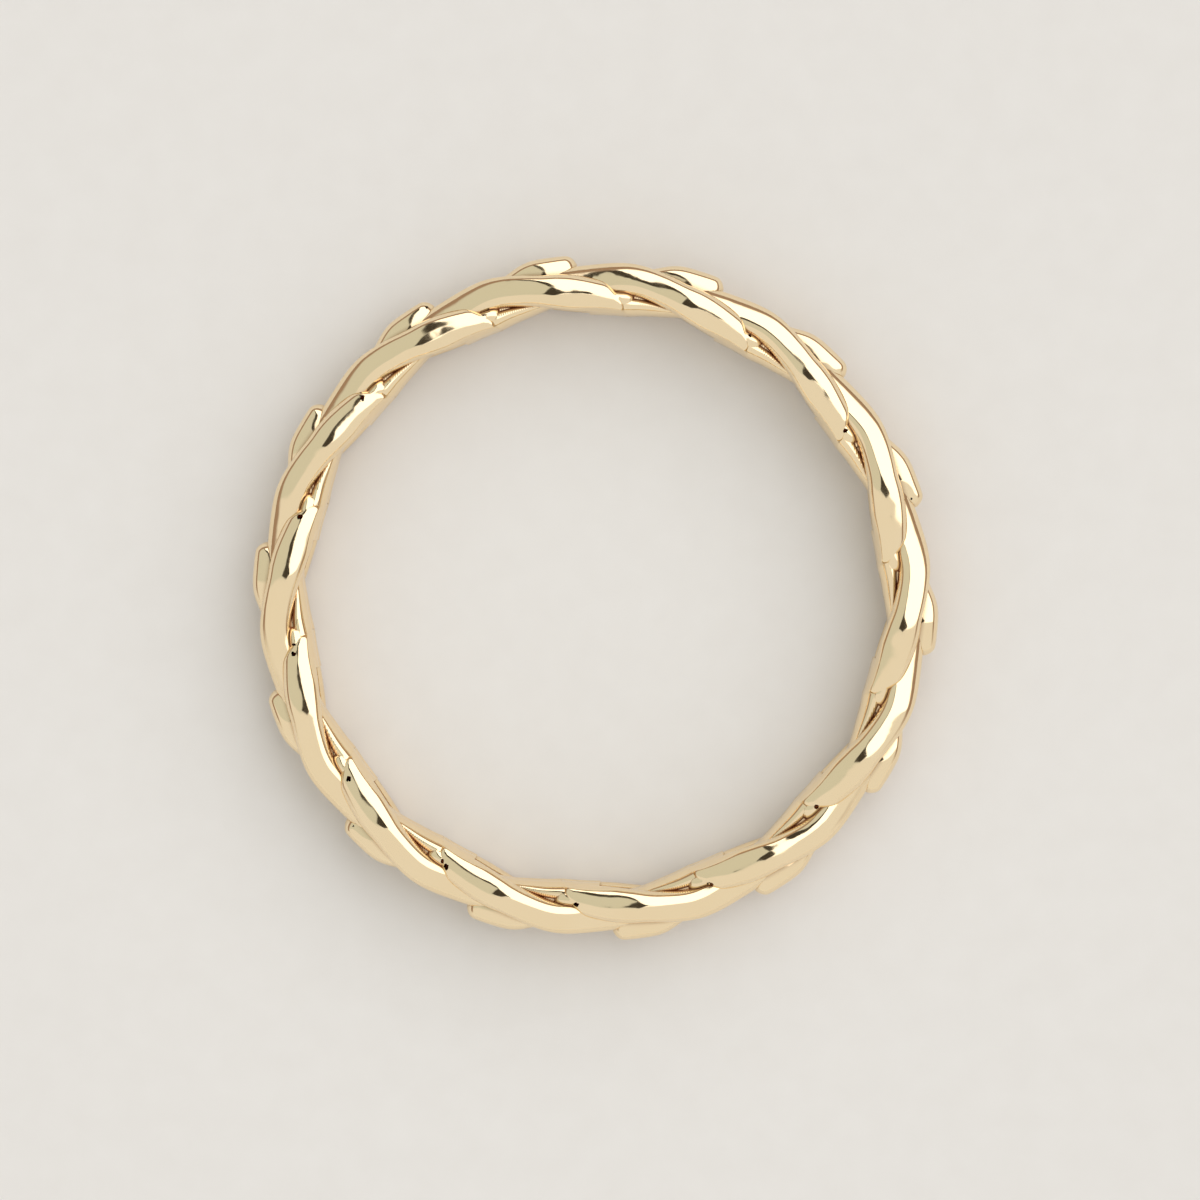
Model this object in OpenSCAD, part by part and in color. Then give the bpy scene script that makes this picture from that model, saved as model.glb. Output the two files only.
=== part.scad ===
// Braided finger ring, cast in one piece and lying on its side.
// The ring's axis is Z. It rests on z = 0 and the finger hole is round the axis.
// Clockwise angles are measured from +Y, seen from above (+Z).

/* [Band] */
// Diameter of the finger hole at mid width, in mm
finger_d = 17; // [14:0.1:22]
// How much the hole's wall opens out 1 mm away from mid width, in mm
mouth_flare = 0.18; // [0:0.02:0.3]
// Distance from the hole's mid width out to the middle of the metal, in mm
core_offset = 0.84; // [0.76:0.02:0.92]
// Repeats of the braid round the ring
repeats = 14; // [12:1:14]

/* [Strands] */
// How far the side strands' centre lines stand from mid width at their crest, in mm
side_reach = 0.88; // [0.8:0.02:0.96]
// Height of the middle strands' crest above the hole, in mm
crest_h = 1.82; // [1.7:0.02:1.94]
// Slant of a side strand's blunt end, in degrees round the ring for each mm across
end_slant = 6; // [0:0.5:8]
// How far round the ring the middle strands end before the side strands, in degrees
middle_lead = 8.2; // [6:0.1:10]

/* [Facets] */
// Points round a strand's section
section_points = 10; // [10:2:12]
// Points round the section of the shoulder and ridge beside a blunt end
tail_points = 8; // [8:4:12]

/* [Hidden] */

hole_r = finger_d / 2;
core_r = hole_r + core_offset;
pitch = 360 / repeats;

// Sections between two rows of a table; 1 keeps the count of facets low
steps_per_row = 1;

// The tables are for a ring of this many repeats with a crest at this height across it
table_repeats = 14;
table_side_reach = 0.88;
// Clockwise angle of the first side strand's blunt end
first_end = 5;

// Columns of the side strands' tables. ANGLE is round the ring from the strand's blunt
// end, OUT and UP place the centre line (from the hole's wall, and from mid width), TURN
// is the way the section faces (0 outwards, 90 to the side, 180 inwards), WIDE and THICK
// are half sizes of the section
ANGLE = 0;
OUT = 1;
UP = 2;
TURN = 3;
WIDE = 4;
THICK = 5;

SIDE = [
    [-37, 0.95, 0.38, 58, 0.50, 0.34],
    [-30, 1.02, 0.50, 60, 0.52, 0.36],
    [-24, 1.10, 0.66, 64, 0.49, 0.38],
    [-19, 0.98, 0.80, 74, 0.48, 0.39],
    [-14, 0.82, 0.88, 88, 0.49, 0.41],
    [ -9, 0.68, 0.83, 102, 0.55, 0.42],
    [ -4, 0.56, 0.71, 114, 0.58, 0.42],
    [0.2, 0.55, 0.63, 119, 0.50, 0.39],
    [1.1, 0.58, 0.52, 119, 0.40, 0.34]
];

// What carries a side strand on past its blunt end: a shoulder, then a lower and thinner
// ridge along the inner face
TAIL = [
    [ -12, 0.50, 0.30, 100, 0.24, 0.42],
    [  -5, 0.44, 0.49, 116, 0.42, 0.47],
    [ 1.2, 0.42, 0.49, 118, 0.46, 0.46],
    [ 2.7, 0.39, 0.36,  92, 0.34, 0.54],
    [   8, 0.42, 0.30,  90, 0.25, 0.50],
    [  14, 0.45, 0.15,  90, 0.12, 0.42]
];

// The blunt end slants back only on the outer side of this distance across, in mm
slant_reach = 0.05;
// How full the outlines are: 2 is an ellipse, more is closer to a rectangle
side_fullness = 2.8;
tail_fullness = 2.3;
middle_fullness = 3;

// Columns of the middle strands' table: ANGLE from the blunt end, DROP of the crest below
// crest_h, half width across the ring, half thickness
DROP = 1;
M_WIDE = 2;
M_THICK = 3;
MIDDLE = [
    [ -22, 0.48, 0.32, 0.46],
    [ -16, 0.26, 0.48, 0.52],
    [ -11, 0.08, 0.60, 0.56],
    [  -7, 0.00, 0.62, 0.58],
    [  -3, 0.00, 0.54, 0.58],
    [-0.6, 0.02, 0.44, 0.56],
    [   0, 0.08, 0.36, 0.50]
];

// Half sizes of the core that fills the middle of the metal
core_half_out = 0.48;
core_half_up = 0.78;
core_points = 8;
core_steps = 2;
core_joint = -10.9;
core_overlap = 1;
slice_t = 0.01;

function clamp_row(table, i) = table[max(0, min(len(table) - 1, i))];

// Smooth value of one column at row position s, by a curve through the rows that stays
// between the values of the two rows on either side
function curve_at(table, col, s) =
    let (
        i = min(floor(s), len(table) - 2),
        f = s - i,
        a = clamp_row(table, i - 1)[col],
        b = clamp_row(table, i)[col],
        c = clamp_row(table, i + 1)[col],
        d = clamp_row(table, i + 2)[col]
    )
    let (v = b + 0.5 * f * (c - a + f * (2 * a - 5 * b + 4 * c - d + f * (3 * (b - c) + d - a))))
    max(min(b, c), min(max(b, c), v));

// The angle column runs straight from row to row, so that it never turns back
function angle_at(table, s) =
    let (
        i = min(floor(s), len(table) - 2),
        f = s - i
    )
    (table[i][ANGLE] * (1 - f) + table[i + 1][ANGLE] * f) * table_repeats / repeats;

function signed_power(v, p) = sign(v) * pow(abs(v), p);

// Point j of n on a rounded outline with half sizes w and h; fullness 2 is an ellipse
function outline_point(j, n, w, h, fullness) =
    let (a = 360 * j / n)
    [w * signed_power(cos(a), 2 / fullness), h * signed_power(sin(a), 2 / fullness)];

// Radius of the finger hole's wall at height z from mid width
function wall_r(z) = hole_r + mouth_flare * pow(min(abs(z), 1.3), 2);

// Point at radius r and height z, kept out of the finger hole, at a clockwise angle
function ring_point(r, z, angle) =
    let (rr = max(r, wall_r(z)))
    [rr * sin(angle), rr * cos(angle), z];

// Section of a side strand at row position s
function side_section(table, s, n, slant, fullness) =
    let (
        angle = angle_at(table, s),
        turn = curve_at(table, TURN, s),
        w = curve_at(table, WIDE, s),
        h = curve_at(table, THICK, s),
        r0 = hole_r + curve_at(table, OUT, s),
        z0 = curve_at(table, UP, s) * side_reach / table_side_reach,
        late = pow(s / (len(table) - 1), 4)
    )
    [for (j = [0 : n - 1])
        let (
            p = outline_point(j, n, w, h, fullness),
            r = r0 - p[0] * sin(turn) + p[1] * cos(turn),
            z = z0 + p[0] * cos(turn) + p[1] * sin(turn)
        )
        ring_point(r, z, angle + slant * late * min(p[0], slant_reach))];

// Section of a middle strand at row position s
function middle_section(table, s) =
    let (
        angle = angle_at(table, s),
        w = curve_at(table, M_WIDE, s),
        h = curve_at(table, M_THICK, s),
        r0 = hole_r + crest_h - curve_at(table, DROP, s) - h
    )
    [for (j = [0 : section_points - 1])
        let (p = outline_point(j, section_points, w, h, middle_fullness))
        ring_point(r0 + p[1], p[0], angle)];

// Closed solid through a list of sections with the same number of points
module swept(sections) {
    n = len(sections[0]);
    last = len(sections) - 1;
    points = [for (section = sections) for (p = section) p];
    sides = [for (i = [0 : last - 1]) for (j = [0 : n - 1])
        let (k = (j + 1) % n)
        [i * n + j, i * n + k, (i + 1) * n + k, (i + 1) * n + j]];
    start_cap = [for (j = [0 : n - 1]) n - 1 - j];
    end_cap = [for (j = [0 : n - 1]) last * n + j];
    polyhedron(points, concat([start_cap, end_cap], sides));
}

function row_positions(table) =
    let (count = (len(table) - 1) * steps_per_row)
    [for (i = [0 : count]) i / steps_per_row];

module stretch(table, n, slant, fullness) {
    swept([for (s = row_positions(table)) side_section(table, s, n, slant, fullness)]);
}

module side_strand() {
    stretch(SIDE, section_points, end_slant, side_fullness);
    stretch(TAIL, tail_points, 0, tail_fullness);
}

module middle_strand() {
    swept([for (s = row_positions(MIDDLE)) middle_section(MIDDLE, s)]);
}

// Thin slice of the core, square to the way round the ring
module core_slice(angle) {
    rotate(-angle) rotate([90, 0, 90])
        linear_extrude(height = slice_t, center = true)
            translate([core_r, 0])
                scale([core_half_out, core_half_up])
                    circle(r = 1, $fn = core_points);
}

// The core bends round the ring in straight lengths that run a little into each other
module core() {
    length_angle = pitch / core_steps;
    for (i = [0 : repeats * core_steps - 1])
        hull() {
            core_slice(core_joint + i * length_angle - core_overlap);
            core_slice(core_joint + (i + 1) * length_angle + core_overlap);
        }
}

// Height of the side strands' highest point above mid width
side_top = max([for (s = row_positions(SIDE))
    for (p = side_section(SIDE, s, section_points, end_slant, side_fullness)) p[2]]);

module braided_band() {
    color("gold")
        translate([0, 0, side_top]) rotate(-first_end)
            union() {
                core();
                for (k = [0 : repeats - 1])
                    rotate(-k * pitch) {
                        side_strand();
                        mirror([0, 0, 1]) side_strand();
                        rotate(middle_lead) middle_strand();
                    }
            }
}

braided_band();
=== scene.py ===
# A braided gold finger ring, lying on its side on a pale floor.
# Metres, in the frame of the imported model: the ring's axis is Z and it rests on z = 0.
import math
from functools import partial

import bmesh
import bpy
import numpy as np
from mathutils import Matrix, Vector


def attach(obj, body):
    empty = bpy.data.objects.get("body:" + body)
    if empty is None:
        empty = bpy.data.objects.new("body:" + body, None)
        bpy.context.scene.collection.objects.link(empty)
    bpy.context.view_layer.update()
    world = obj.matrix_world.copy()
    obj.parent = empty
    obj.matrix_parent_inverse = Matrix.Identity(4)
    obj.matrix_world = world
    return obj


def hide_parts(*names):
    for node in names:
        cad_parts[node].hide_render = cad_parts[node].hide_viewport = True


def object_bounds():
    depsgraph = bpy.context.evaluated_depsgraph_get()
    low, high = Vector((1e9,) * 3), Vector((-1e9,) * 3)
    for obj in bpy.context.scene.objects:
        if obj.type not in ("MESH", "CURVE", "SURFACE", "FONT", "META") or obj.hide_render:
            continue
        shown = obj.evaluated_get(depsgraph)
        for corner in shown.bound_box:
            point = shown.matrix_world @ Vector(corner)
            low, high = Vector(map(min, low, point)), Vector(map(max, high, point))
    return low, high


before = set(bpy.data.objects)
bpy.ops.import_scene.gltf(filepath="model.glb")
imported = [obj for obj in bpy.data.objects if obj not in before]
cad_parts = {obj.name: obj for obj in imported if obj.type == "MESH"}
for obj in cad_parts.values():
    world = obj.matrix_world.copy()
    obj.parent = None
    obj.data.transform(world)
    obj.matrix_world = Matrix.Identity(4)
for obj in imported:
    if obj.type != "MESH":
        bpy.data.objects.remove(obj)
cad_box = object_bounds()

MM = 0.001

# Sizes of the band, in mm and degrees. Angles run clockwise from +Y, seen from above.
REPEATS = 14
FIRST_END = 5.0
HOLE_R = 8.5
# The hole's wall opens out by this much 1 mm from mid width, and no further past the reach
MOUTH_FLARE = 0.18
MOUTH_REACH = 1.3
# Height of the middle strands' crests over the hole's wall
CREST_H = 1.82
# A side strand's blunt end falls back by these degrees for each mm outwards, and runs
# straight further in than the reach; the slant grows with this power along the strand
END_SLANT = 6.0
SLANT_REACH = 0.05
SLANT_GROWTH = 4
# Degrees by which a middle strand stops before the side strands do
MIDDLE_LEAD = 8.2
CORE_OFFSET = 0.84
CORE_HALF_OUT = 0.48
CORE_HALF_UP = 0.78
CORE_ROWS = 280
CORE_COLUMNS = 24

# Columns: angle from the blunt end, out from the hole's wall, up from mid width,
# turn of the section, half width, half thickness
SIDE = np.array([
    [-37, 0.95, 0.38, 58, 0.50, 0.34],
    [-30, 1.02, 0.50, 60, 0.52, 0.36],
    [-24, 1.10, 0.66, 64, 0.49, 0.38],
    [-19, 0.98, 0.785, 74, 0.48, 0.39],
    [-15.5, 0.86, 0.865, 83, 0.48, 0.40],
    [-13.5, 0.79, 0.885, 88, 0.50, 0.41],
    [-11.5, 0.745, 0.865, 92, 0.53, 0.42],
    [-9, 0.69, 0.825, 95, 0.55, 0.42],
    [-4, 0.58, 0.745, 99, 0.54, 0.42],
    [0, 0.51, 0.66, 103, 0.53, 0.40],
])

# Shoulder beside the blunt end, which stops with a round rim over the hollow
SHOULDER = np.array([
    [-13, 0.56, 0.28, 100, 0.16, 0.40],
    [-8, 0.58, 0.44, 106, 0.18, 0.44],
    [-5, 0.58, 0.54, 108, 0.20, 0.45],
    [-2.5, 0.59, 0.59, 108, 0.215, 0.46],
    [0, 0.59, 0.58, 107, 0.22, 0.46],
    [3, 0.59, 0.52, 106, 0.215, 0.46],
])

# Floor of the hollow that follows the shoulder, sloping down and outwards from the ridge
HOLLOW = np.array([
    [-4, 0.58, 0.34, 80, 0.36, 0.44],
    [2, 0.58, 0.36, 80, 0.36, 0.44],
    [8, 0.58, 0.29, 80, 0.32, 0.42],
    [14, 0.56, 0.18, 80, 0.24, 0.38],
])

# Ridge that runs on along the inner face, below the hollow
RIDGE = np.array([
    [-6, 0.36, 0.35, 90, 0.34, 0.56],
    [1, 0.36, 0.385, 90, 0.35, 0.56],
    [4, 0.40, 0.35, 90, 0.32, 0.54],
    [8, 0.42, 0.30, 90, 0.25, 0.50],
    [11, 0.44, 0.24, 90, 0.18, 0.46],
    [15, 0.46, 0.12, 90, 0.11, 0.40],
])

# Columns: angle from the blunt end, drop below the crest, half width, half thickness
MIDDLE = np.array([
    [-22, 0.50, 0.30, 0.46],
    [-16, 0.40, 0.40, 0.50],
    [-12, 0.25, 0.50, 0.54],
    [-10, 0.11, 0.56, 0.56],
    [-8, 0.02, 0.60, 0.57],
    [-5.3, 0.00, 0.62, 0.58],
    [-2.5, 0.00, 0.54, 0.58],
    [0.8, 0.02, 0.42, 0.56],
])

# Sections along a strand, corners round each section, and its fullness: 2 makes an ellipse
# and more makes it squarer
SIDE_FORM = {"count": 66, "corners": 44, "fullness": 2.5}
SHOULDER_FORM = {"count": 34, "corners": 32, "fullness": 3.2}
HOLLOW_FORM = {"count": 24, "corners": 24, "fullness": 2.4}
RIDGE_FORM = {"count": 28, "corners": 28, "fullness": 1.7}
MIDDLE_FORM = {"count": 48, "corners": 44, "fullness": 3.0}

# Blunt ends: where the round rim starts, where the strand stops, how deep it dives there,
# and the last degrees, which get the closest sections
SIDE_END = {"rim": -0.4, "stop": 1.3, "dive": 0.6, "fine": 1.7}
SHOULDER_END = {"rim": 0.4, "stop": 2.8, "dive": 0.3, "fine": 2.4}
# A middle strand narrows along a circle over its fine degrees, and stops at this share of
# the circle's radius
MIDDLE_END = {"stop": 0.1, "fine": 1.9, "close": 0.85}
FINE_COUNT = 10

# Casting pits. Columns: angle from a blunt end, radius, height from mid width, pit radius
PITS = [
    [-0.5, 9.10, 1.04, 0.070],
    [-2.1, 9.15, 1.06, 0.095],
    [-9.6, 10.00, 0.42, 0.062],
]
PIT_SEED = 7
PIT_SHARE = 0.5
PIT_DEPTH = 1.9
# How far a pit wanders along the band in degrees and outwards in mm, and its random sizes
PIT_WANDER = (0.5, 0.04)
PIT_SIZES = (0.65, 1.15)
PIT_DENTS = (0.65, 1.25)
# Rings of a pit's ball, corners of each, and the first ring's angle from the pole, in radians
PIT_RINGS = 7
PIT_CORNERS = 12
PIT_POLE = 0.25

# Edges sharper than this many degrees stay crisp
SHARP_ANGLE = 40


def spline(xs, ys, at):
    """Natural cubic spline through the points, read at the given places."""
    n = len(xs)
    h = np.diff(xs)
    a = np.zeros((n, n))
    b = np.zeros(n)
    a[0, 0] = a[-1, -1] = 1
    for i in range(1, n - 1):
        a[i, i - 1] = h[i - 1]
        a[i, i] = 2 * (h[i - 1] + h[i])
        a[i, i + 1] = h[i]
        b[i] = 6 * ((ys[i + 1] - ys[i]) / h[i] - (ys[i] - ys[i - 1]) / h[i - 1])
    m = np.linalg.solve(a, b)
    k = np.clip(np.searchsorted(xs, at) - 1, 0, n - 2)
    t0 = at - xs[k]
    t1 = xs[k + 1] - at
    return ((m[k] * t1 ** 3 + m[k + 1] * t0 ** 3) / (6 * h[k])
            + (ys[k] / h[k] - m[k] * h[k] / 6) * t1
            + (ys[k + 1] / h[k] - m[k + 1] * h[k] / 6) * t0)


def outline(form):
    """Corners of a rounded section with half sizes of 1."""
    a = np.arange(form["corners"]) * 2 * math.pi / form["corners"]
    p = 2 / form["fullness"]
    return (np.sign(np.cos(a)) * np.abs(np.cos(a)) ** p,
            np.sign(np.sin(a)) * np.abs(np.sin(a)) ** p)


def ring_points(r, z, angle):
    """Points kept out of the finger hole."""
    wall = HOLE_R + MOUTH_FLARE * np.minimum(np.abs(z), MOUTH_REACH) ** 2
    rr = np.maximum(r, wall)
    a = np.radians(angle)
    return np.stack([rr * np.sin(a), rr * np.cos(a), z], axis=-1)


def steps(first, last, count, fine=0.0):
    """Angles from first to last, closer together within the last few degrees."""
    if not fine:
        return np.linspace(first, last, count)
    main = np.linspace(first, last - fine, count - FINE_COUNT)
    turns = np.linspace(0, math.pi / 2, FINE_COUNT + 1)[1:]
    return np.concatenate([main, last - fine * (1 - np.sin(turns))])


def side_strand(table, form, slant=0.0, end=None):
    """Rows of points, a row for each section, from a table with the columns of SIDE."""
    if end:
        angles = steps(table[0, 0], end["stop"], form["count"], end["fine"])
        t = np.clip((angles - end["rim"]) / (end["stop"] - end["rim"]), 0, 1)
        dive = end["dive"] * (1 - np.sqrt(1 - t ** 2))
    else:
        angles = steps(table[0, 0], table[-1, 0], form["count"])
        dive = np.zeros(len(angles))
    at = np.minimum(angles, table[-1, 0])
    out, up, turn, w, h = [spline(table[:, 0], table[:, k], at) for k in range(1, 6)]
    t = np.radians(turn)
    px, py = outline(form)
    x = w[:, None] * px[None]
    y = h[:, None] * py[None]
    r = (HOLE_R + out)[:, None] - x * np.sin(t)[:, None] + y * np.cos(t)[:, None]
    z = up[:, None] + x * np.cos(t)[:, None] + y * np.sin(t)[:, None] - dive[:, None]
    late = np.clip((angles - angles[0]) / (0 - angles[0]), 0, 1) ** SLANT_GROWTH
    ang = angles[:, None] + slant * late[:, None] * np.minimum(x, SLANT_REACH)
    return ring_points(r, z, ang)


def middle_strand(table, form, end):
    """Rows of points, a row for each section, from a table with the columns of MIDDLE."""
    angles = steps(table[0, 0], end["stop"], form["count"], end["fine"])
    drop, w, h = [spline(table[:, 0], table[:, k], angles) for k in range(1, 4)]
    d = np.clip(1 - (angles[-1] - angles) / end["fine"], 0, 1)
    s = np.sqrt(1 - (d * end["close"]) ** 2)
    px, py = outline(form)
    r0 = HOLE_R + CREST_H - drop - h
    r = r0[:, None] + (h * s)[:, None] * py[None]
    z = (w * s)[:, None] * px[None]
    ang = np.repeat(angles[:, None], form["corners"], axis=1)
    return ring_points(r, z, ang)


def turned(points, clockwise):
    a = math.radians(clockwise)
    c, s = math.cos(a), math.sin(a)
    out = points.copy()
    out[..., 0] = points[..., 0] * c + points[..., 1] * s
    out[..., 1] = -points[..., 0] * s + points[..., 1] * c
    return out


def mirrored(points):
    out = points[:, ::-1].copy()
    out[..., 2] *= -1
    return out


def add_object(name, verts, faces):
    mesh = bpy.data.meshes.new(name)
    mesh.from_pydata(verts, [], faces)
    mesh.update()
    obj = bpy.data.objects.new(name, mesh)
    bpy.context.scene.collection.objects.link(obj)
    return obj


def shells_object(name, shells):
    """One mesh object from lists of sections (rows of points), each a closed shell."""
    verts, faces = [], []
    for sections in shells:
        base = len(verts)
        m, n = sections.shape[:2]
        verts += (sections.reshape(-1, 3) + LIFT).tolist()
        for i in range(m - 1):
            for j in range(n):
                k = (j + 1) % n
                faces.append((base + i * n + j, base + (i + 1) * n + j,
                              base + (i + 1) * n + k, base + i * n + k))
        for row, flip in ((0, True), (m - 1, False)):
            centre = sections[row].mean(axis=0) + LIFT
            c = len(verts)
            verts.append(centre.tolist())
            for j in range(n):
                a = base + row * n + j
                b = base + row * n + (j + 1) % n
                faces.append((c, a, b) if flip else (c, b, a))
    return add_object(name, verts, faces)


def core_object():
    """The closed ring inside the braid, which everything else is fused to."""
    rows, columns = CORE_ROWS, CORE_COLUMNS
    a = np.arange(rows) * 2 * math.pi / rows
    b = np.arange(columns) * 2 * math.pi / columns
    r = HOLE_R + CORE_OFFSET + CORE_HALF_OUT * np.cos(b)
    z = CORE_HALF_UP * np.sin(b)
    verts = [(r[j] * math.sin(a[i]), r[j] * math.cos(a[i]), z[j] + LIFT[2])
             for i in range(rows) for j in range(columns)]
    faces = []
    for i in range(rows):
        for j in range(columns):
            i2, j2 = (i + 1) % rows, (j + 1) % columns
            faces.append((i * columns + j, i * columns + j2,
                          i2 * columns + j2, i2 * columns + j))
    return add_object("band", verts, faces)


def pits_object():
    """Small dented balls at a seeded choice of the blunt ends, on both sides of the band."""
    rng = np.random.default_rng(PIT_SEED)
    polar = np.linspace(PIT_POLE, math.pi - PIT_POLE, PIT_RINGS)[:, None]
    turn = (np.arange(PIT_CORNERS) * 2 * math.pi / PIT_CORNERS)[None]
    ball = np.stack([np.sin(polar) * np.cos(turn), np.sin(polar) * np.sin(turn),
                     np.cos(polar) + 0 * turn], axis=-1)
    shells = []
    for k in range(REPEATS):
        for up in (1, -1):
            for angle, r, z, size in PITS:
                if rng.random() > PIT_SHARE:
                    continue
                a = math.radians(FIRST_END + k * 360 / REPEATS + angle
                                 + rng.normal(0, PIT_WANDER[0]))
                rr = r + rng.normal(0, PIT_WANDER[1])
                centre = np.array([rr * math.sin(a), rr * math.cos(a), up * z])
                half = size * rng.uniform(*PIT_SIZES, 3) * (1, 1, PIT_DEPTH)
                dents = rng.uniform(*PIT_DENTS, (1, PIT_CORNERS, 1))
                shells.append(centre + ball * half * dents)
    return shells_object("pits", shells)


def fuse(obj, tools, operation="UNION"):
    """Adds the tools to the object one by one, or cuts them out, and deletes them."""
    for tool in tools:
        mod = obj.modifiers.new("join", "BOOLEAN")
        mod.operation = operation
        mod.solver = "MANIFOLD"
        mod.object = tool
        deps = bpy.context.evaluated_depsgraph_get()
        mesh = bpy.data.meshes.new_from_object(obj.evaluated_get(deps))
        obj.modifiers.clear()
        old = obj.data
        obj.data = mesh
        bpy.data.meshes.remove(old)
        bpy.data.objects.remove(tool)


def keep_largest(obj):
    """Deletes slivers of a few faces that the fusing can leave beside the one shell."""
    bm = bmesh.new()
    bm.from_mesh(obj.data)
    left = set(bm.verts)
    shells = []
    while left:
        front = [left.pop()]
        shell = []
        while front:
            vert = front.pop()
            shell.append(vert)
            for edge in vert.link_edges:
                other = edge.other_vert(vert)
                if other in left:
                    left.remove(other)
                    front.append(other)
        shells.append(shell)
    shells.sort(key=len)
    slivers = [vert for shell in shells[:-1] for vert in shell]
    bmesh.ops.delete(bm, geom=slivers, context="VERTS")
    bm.to_mesh(obj.data)
    bm.free()


# The band, made in mm and scaled to metres at the end
HALF_HIGH = (cad_box[1][2] - cad_box[0][2]) / 2 / MM
LIFT = np.array([0.0, 0.0, HALF_HIGH])

side = side_strand(SIDE, SIDE_FORM, END_SLANT, SIDE_END)
# The strands' crests just touch the surface that the ring lies on
side[..., 2] *= HALF_HIGH / side[..., 2].max()
shoulder = side_strand(SHOULDER, SHOULDER_FORM, end=SHOULDER_END)
hollow = side_strand(HOLLOW, HOLLOW_FORM)
ridge = side_strand(RIDGE, RIDGE_FORM)
middle = middle_strand(MIDDLE, MIDDLE_FORM, MIDDLE_END)

# Neighbouring side strands overlap, so each group holds only every second one
groups = []
for parity in (0, 1):
    near = [turned(side, FIRST_END + k * 360 / REPEATS) for k in range(parity, REPEATS, 2)]
    groups.append(near)
    groups.append([mirrored(s) for s in near])
for extra in (shoulder, hollow, ridge):
    near = [turned(extra, FIRST_END + k * 360 / REPEATS) for k in range(REPEATS)]
    groups.append(near)
    groups.append([mirrored(s) for s in near])
groups.append([turned(middle, FIRST_END - MIDDLE_LEAD + k * 360 / REPEATS)
               for k in range(REPEATS)])

band = core_object()
fuse(band, [shells_object("strands", g) for g in groups])
fuse(band, [pits_object()], "DIFFERENCE")
keep_largest(band)
band.data.transform(Matrix.Scale(MM, 4))


# Helpers for shaders
def link(tree, a, b):
    tree.links.new(a, b)


def node(tree, kind, **values):
    n = tree.nodes.new(kind)
    for key, value in values.items():
        setattr(n, key, value)
    return n


def math_node(tree, operation, *values):
    """A calculation with numbers and other nodes' outputs."""
    n = node(tree, "ShaderNodeMath", operation=operation)
    for socket, value in zip(n.inputs, values):
        if isinstance(value, (int, float)):
            socket.default_value = value
        else:
            link(tree, value, socket)
    return n.outputs[0]


def ramp(tree, value, span, to=(0.0, 1.0), kind="LINEAR"):
    """Brings a value from one span to another, and holds it at the ends."""
    n = node(tree, "ShaderNodeMapRange", interpolation_type=kind)
    link(tree, value, n.inputs["Value"])
    n.inputs["From Min"].default_value = span[0]
    n.inputs["From Max"].default_value = span[1]
    n.inputs["To Min"].default_value = to[0]
    n.inputs["To Max"].default_value = to[1]
    return n.outputs["Result"]


def rise(tree, value, at, soft):
    """0 below the given value and 1 above it, softly over this much on either side."""
    return ramp(tree, value, (at - soft, at + soft), kind="SMOOTHSTEP")


def within(tree, value, low, high):
    """1 from low to high and 0 outside; each is a pair of a value and its softness."""
    falling = math_node(tree, "MULTIPLY", value, -1.0)
    return math_node(tree, "MULTIPLY", rise(tree, falling, -high[0], high[1]),
                     rise(tree, value, low[0], low[1]))


def mix(tree, factor, first, second):
    """The first colour where the factor is 0 and the second where it is 1."""
    n = node(tree, "ShaderNodeMix", data_type="RGBA")
    link(tree, factor, n.inputs["Factor"])
    for name, value in (("A", first), ("B", second)):
        if isinstance(value, tuple):
            n.inputs[name].default_value = value
        else:
            link(tree, value, n.inputs[name])
    return n.outputs["Result"]


def noise(tree, vector, scale, detail):
    n = node(tree, "ShaderNodeTexNoise")
    n.inputs["Scale"].default_value = scale
    n.inputs["Detail"].default_value = detail
    link(tree, vector, n.inputs["Vector"])
    return n.outputs["Fac"]


def bump(tree, height, distance, normal=None):
    n = node(tree, "ShaderNodeBump")
    n.inputs["Strength"].default_value = 1.0
    n.inputs["Distance"].default_value = distance
    link(tree, height, n.inputs["Height"])
    if normal is not None:
        link(tree, normal, n.inputs["Normal"])
    return n.outputs["Normal"]


# Gold. Noise scales are per mm, distances in metres.
GOLD = ((0.94, 0.757, 0.487, 1), (0.955, 0.787, 0.53, 1))
GOLD_DRIFT = {"scale": 0.7, "detail": 2}
# Painted shade: the dark brown mixed into the gold in creases and hollows
PAINTED_CREASE_SHADE = (0.34, 0.17, 0.085, 1)
CREASE_SHADE_REACH = 0.00030
CREASE_SHADE_SAMPLES = 12
CREASE_SHADE_SPAN = (0.30, 0.85)
HAZE = {"scale": 2.2, "detail": 5}
HAZE_SPAN = (0.35, 0.7)
ROUGHNESS = (0.045, 0.11)
WAVES = {"scale": 1.3, "detail": 1.5}
WAVE_DEPTH = 0.000012
# Fine lines: their pitch in mm, their depth, and where they are, by height from mid width and
# by radius, each end in mm with its softness
LINE_PITCH = 0.066
LINE_DEPTH = 0.0000022
LINE_HEIGHTS = ((0.5, 0.05), (0.90, 0.03))
LINE_RADII = ((8.90, 0.03), (9.25, 0.03))


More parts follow.
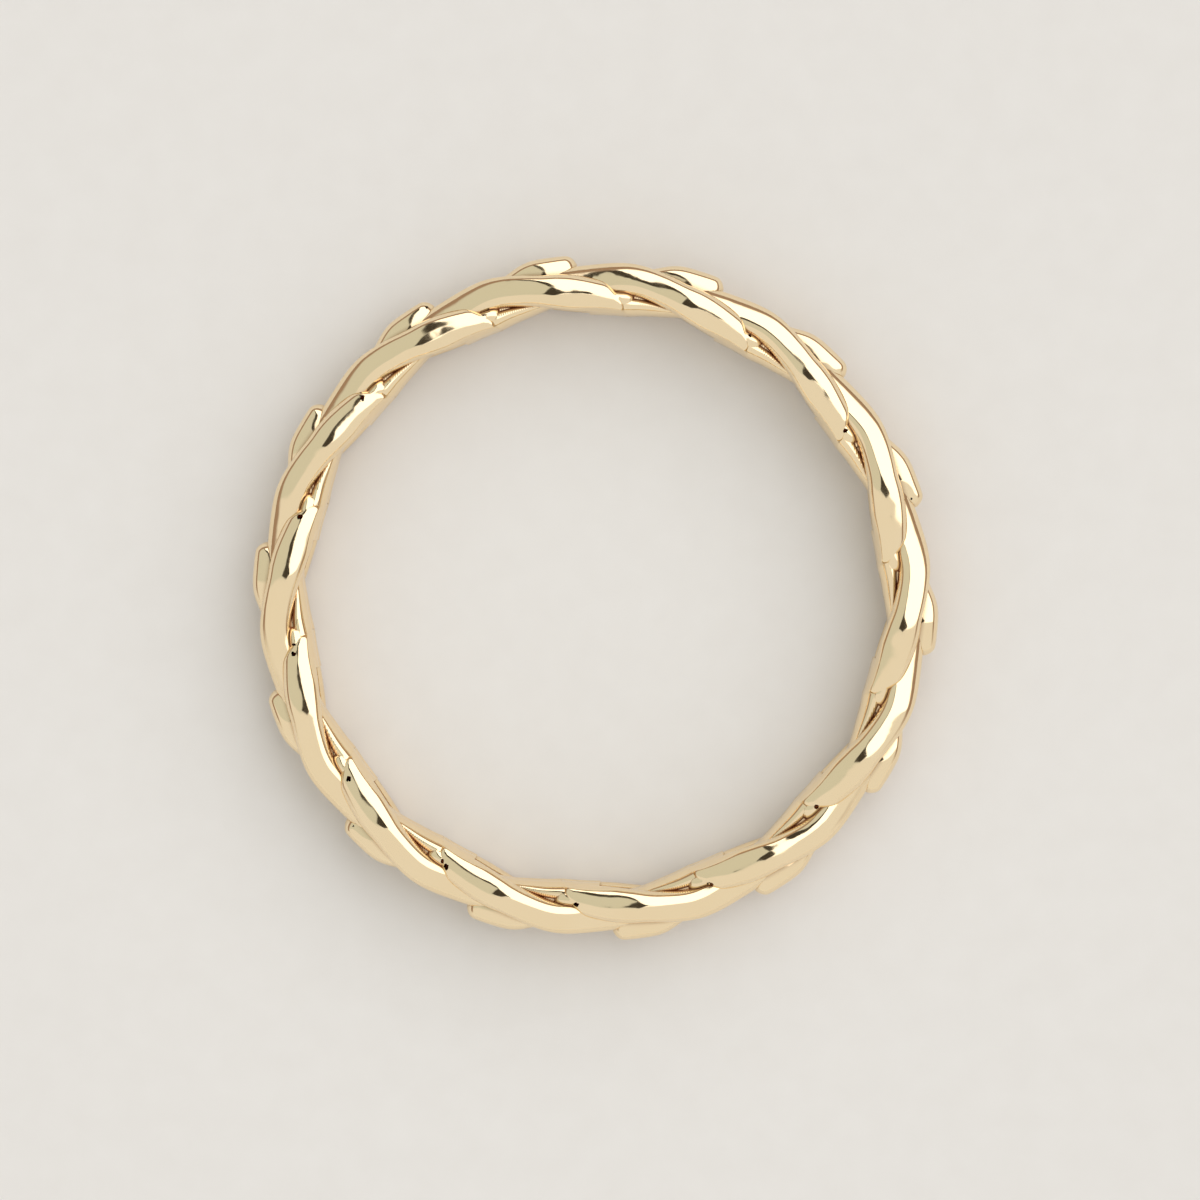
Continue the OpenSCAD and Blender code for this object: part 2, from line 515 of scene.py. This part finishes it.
def gold_material():
    mat = bpy.data.materials.new("polished_gold")
    mat.use_nodes = True
    tree = mat.node_tree
    calc = partial(math_node, tree)
    shader = tree.nodes["Principled BSDF"]
    shader.inputs["Metallic"].default_value = 1.0
    coords = node(tree, "ShaderNodeTexCoord")
    scaled = node(tree, "ShaderNodeMapping")
    scaled.inputs["Scale"].default_value = (1 / MM, 1 / MM, 1 / MM)
    link(tree, coords.outputs["Object"], scaled.inputs["Vector"])
    place = scaled.outputs["Vector"]

    # Colour drifts a little over the metal, and the creases get painted shade: a browner
    # colour mixed in where the ambient occlusion finds the surface closed in
    tint = mix(tree, noise(tree, place, **GOLD_DRIFT), *GOLD)
    crease_shade_ao = node(tree, "ShaderNodeAmbientOcclusion", samples=CREASE_SHADE_SAMPLES)
    crease_shade_ao.inputs["Distance"].default_value = CREASE_SHADE_REACH
    unshaded_share = ramp(tree, crease_shade_ao.outputs["AO"], CREASE_SHADE_SPAN, kind="SMOOTHSTEP")
    link(tree, mix(tree, unshaded_share, PAINTED_CREASE_SHADE, tint), shader.inputs["Base Color"])

    # Mostly mirror-like, with hazy patches
    rough = ramp(tree, noise(tree, place, **HAZE), HAZE_SPAN, ROUGHNESS)
    link(tree, rough, shader.inputs["Roughness"])

    # Slow waviness left by hand polishing
    waved = bump(tree, noise(tree, place, **WAVES), WAVE_DEPTH)

    # Fine parallel lines of the casting pattern, left on the floors of the hollows
    parts = node(tree, "ShaderNodeSeparateXYZ")
    link(tree, place, parts.inputs[0])
    x, y, z = parts.outputs
    radius = calc("SQRT", calc("ADD", calc("MULTIPLY", x, x), calc("MULTIPLY", y, y)))
    height = calc("ABSOLUTE", calc("SUBTRACT", z, LIFT[2]))
    here = calc("MULTIPLY", within(tree, height, *LINE_HEIGHTS),
                within(tree, radius, *LINE_RADII))
    lines = calc("SINE", calc("MULTIPLY", x, 2 * math.pi / LINE_PITCH))
    ribbed = bump(tree, calc("MULTIPLY", lines, here), LINE_DEPTH, waved)
    link(tree, ribbed, shader.inputs["Normal"])
    return mat


for polygon in band.data.polygons:
    polygon.use_smooth = True
band.data.set_sharp_from_angle(angle=math.radians(SHARP_ANGLE))
band.data.materials.clear()
band.data.materials.append(gold_material())
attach(band, "root")
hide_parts("braided_band")

# Floor, in metres
FLOOR_HALF = 0.6
FLOOR_COLOURS = ((0.78, 0.755, 0.735, 1), (0.82, 0.80, 0.785, 1))
FLOOR_GRAIN = {"scale": 900, "detail": 4}
FLOOR_ROUGHNESS = 0.7


def floor_material():
    mat = bpy.data.materials.new("pale_floor")
    mat.use_nodes = True
    tree = mat.node_tree
    shader = tree.nodes["Principled BSDF"]
    shader.inputs["Roughness"].default_value = FLOOR_ROUGHNESS
    coords = node(tree, "ShaderNodeTexCoord")
    grain = noise(tree, coords.outputs["Object"], **FLOOR_GRAIN)
    link(tree, mix(tree, grain, *FLOOR_COLOURS), shader.inputs["Base Color"])
    return mat


floor = add_object("floor", [(-FLOOR_HALF, -FLOOR_HALF, 0), (FLOOR_HALF, -FLOOR_HALF, 0),
                             (FLOOR_HALF, FLOOR_HALF, 0), (-FLOOR_HALF, FLOOR_HALF, 0)],
                   [(0, 1, 2, 3)])
floor.data.materials.append(floor_material())

# Light: a studio sky of a few flat tones, with no lamps. Right, left, front and back are those
# of the picture, the front being its lower edge. A place on the sky is given by where its
# direction meets a level plane one unit above the ring: "across" to the right, "ahead" to the
# back.
WHITE = (1.75, 1.74, 1.70, 1)
GREENISH = (0.665, 0.69, 0.64, 1)
CREAM = (0.83, 0.815, 0.78, 1)
DARK = (0.055, 0.048, 0.038, 1)
HORIZON = (0.36, 0.26, 0.20, 1)
FLATTEST = 0.03
EDGE_SOFT = 0.012
# Where the white on the right and the greenish on the left give way to the cream front
RIGHT_FRONT = 0.10
RIGHT_SLOPE = 0.08
RIGHT_SOFT = 0.025
LEFT_FRONT = 0.13
LEFT_SOFT = 0.05
# The dark patch overhead, where the picture is taken from: its back and front corners and
# how fast it widens from each
LENS_BACK = 0.27
LENS_SLOPE = 0.6
LENS_FRONT = 0.16
LENS_FRONT_SLOPE = 2.5
LENS_SOFT = 0.015
# The narrow unlit gap behind that patch: its lean to the left and its half width
GAP_SLOPE = 0.40
GAP_HALF = 0.045
GAP_GROWTH = 0.12
GAP_MOST = 0.10
GAP_SOFT = 0.1
# The browner horizon: its height, as the upward part of a direction, and how far it reaches
# to the front, as the forward part
HORIZON_TOP = 0.30
HORIZON_SOFT = 0.06
HORIZON_FRONT = 0.35
HORIZON_FRONT_SOFT = 0.2


def studio_world():
    world = bpy.data.worlds.new("studio")
    world.use_nodes = True
    tree = world.node_tree
    calc = partial(math_node, tree)

    def edge(value, soft=EDGE_SOFT):
        return rise(tree, value, 0.0, soft)

    coords = node(tree, "ShaderNodeTexCoord")
    parts = node(tree, "ShaderNodeSeparateXYZ")
    link(tree, coords.outputs["Generated"], parts.inputs[0])
    x, y, z = parts.outputs
    height = calc("MAXIMUM", z, FLATTEST)
    across = calc("DIVIDE", x, height)
    ahead = calc("DIVIDE", y, height)

    # The line between white and greenish leans to the left behind the dark patch
    past_lens = calc("MAXIMUM", calc("SUBTRACT", ahead, LENS_BACK), 0.0)
    divide = calc("MULTIPLY_ADD", past_lens, GAP_SLOPE, across)
    white_end = calc("MULTIPLY_ADD", across, -RIGHT_SLOPE, -RIGHT_FRONT)
    right_part = calc("MULTIPLY", edge(divide),
                      edge(calc("SUBTRACT", ahead, white_end), RIGHT_SOFT))
    left_part = calc("MULTIPLY", edge(calc("MULTIPLY", divide, -1.0)),
                     edge(calc("ADD", ahead, LEFT_FRONT), LEFT_SOFT))
    sky = mix(tree, left_part, CREAM, GREENISH)
    sky = mix(tree, right_part, sky, WHITE)

    # The unlit gap along that line, growing towards the back
    gap = calc("MINIMUM", calc("MULTIPLY_ADD", past_lens, GAP_GROWTH, GAP_HALF), GAP_MOST)
    gap_part = calc("MULTIPLY", edge(calc("SUBTRACT", gap, calc("ABSOLUTE", divide))),
                    edge(calc("SUBTRACT", ahead, LENS_BACK), GAP_SOFT))
    sky = mix(tree, gap_part, sky, DARK)

    # The dark patch overhead
    wide = calc("MINIMUM",
                calc("MULTIPLY_ADD", ahead, -LENS_SLOPE, LENS_SLOPE * LENS_BACK),
                calc("MULTIPLY_ADD", ahead, LENS_FRONT_SLOPE, LENS_FRONT_SLOPE * LENS_FRONT))
    lens_part = edge(calc("SUBTRACT", wide, calc("ABSOLUTE", across)), LENS_SOFT)
    sky = mix(tree, lens_part, sky, DARK)

    # The browner horizon, all round but in front
    low_level = edge(calc("SUBTRACT", HORIZON_TOP, z), HORIZON_SOFT)
    not_front = edge(calc("ADD", y, HORIZON_FRONT), HORIZON_FRONT_SOFT)
    sky = mix(tree, calc("MULTIPLY", low_level, not_front), sky, HORIZON)
    link(tree, sky, tree.nodes["Background"].inputs["Color"])
    return world


bpy.context.scene.world = studio_world()
bpy.context.scene.view_settings.view_transform = "Standard"

# Camera, in metres: its distance, the width seen there, where it looks from mid height of the
# ring, and its direction from that place
CAMERA_UP = 0.15
SEEN_WIDTH = 0.03604
SENSOR_WIDTH = 36
CLIP_START = 0.001
AIM_X, AIM_Y = 0.00015, -0.000045
CAMERA_DIRECTION = (0.03, 0.03, 1.0)


def aim(obj, place, target):
    """Puts a camera at a place, looking at the target, with +Y shown upwards."""
    z = (Vector(place) - Vector(target)).normalized()
    x = Vector((0.0, 1.0, 0.0)).cross(z).normalized()
    y = z.cross(x)
    rot = Matrix(((x.x, y.x, z.x), (x.y, y.y, z.y), (x.z, y.z, z.z)))
    obj.matrix_world = Matrix.Translation(place) @ rot.to_4x4()


camera_data = bpy.data.cameras.new("camera")
camera_data.sensor_width = SENSOR_WIDTH
camera_data.lens = SENSOR_WIDTH * CAMERA_UP / SEEN_WIDTH
camera_data.clip_start = CLIP_START
camera = bpy.data.objects.new("camera", camera_data)
bpy.context.scene.collection.objects.link(camera)
aim_at = Vector((AIM_X, AIM_Y, LIFT[2] * MM))
aim(camera, aim_at + Vector(CAMERA_DIRECTION) * CAMERA_UP, aim_at)
bpy.context.scene.camera = camera
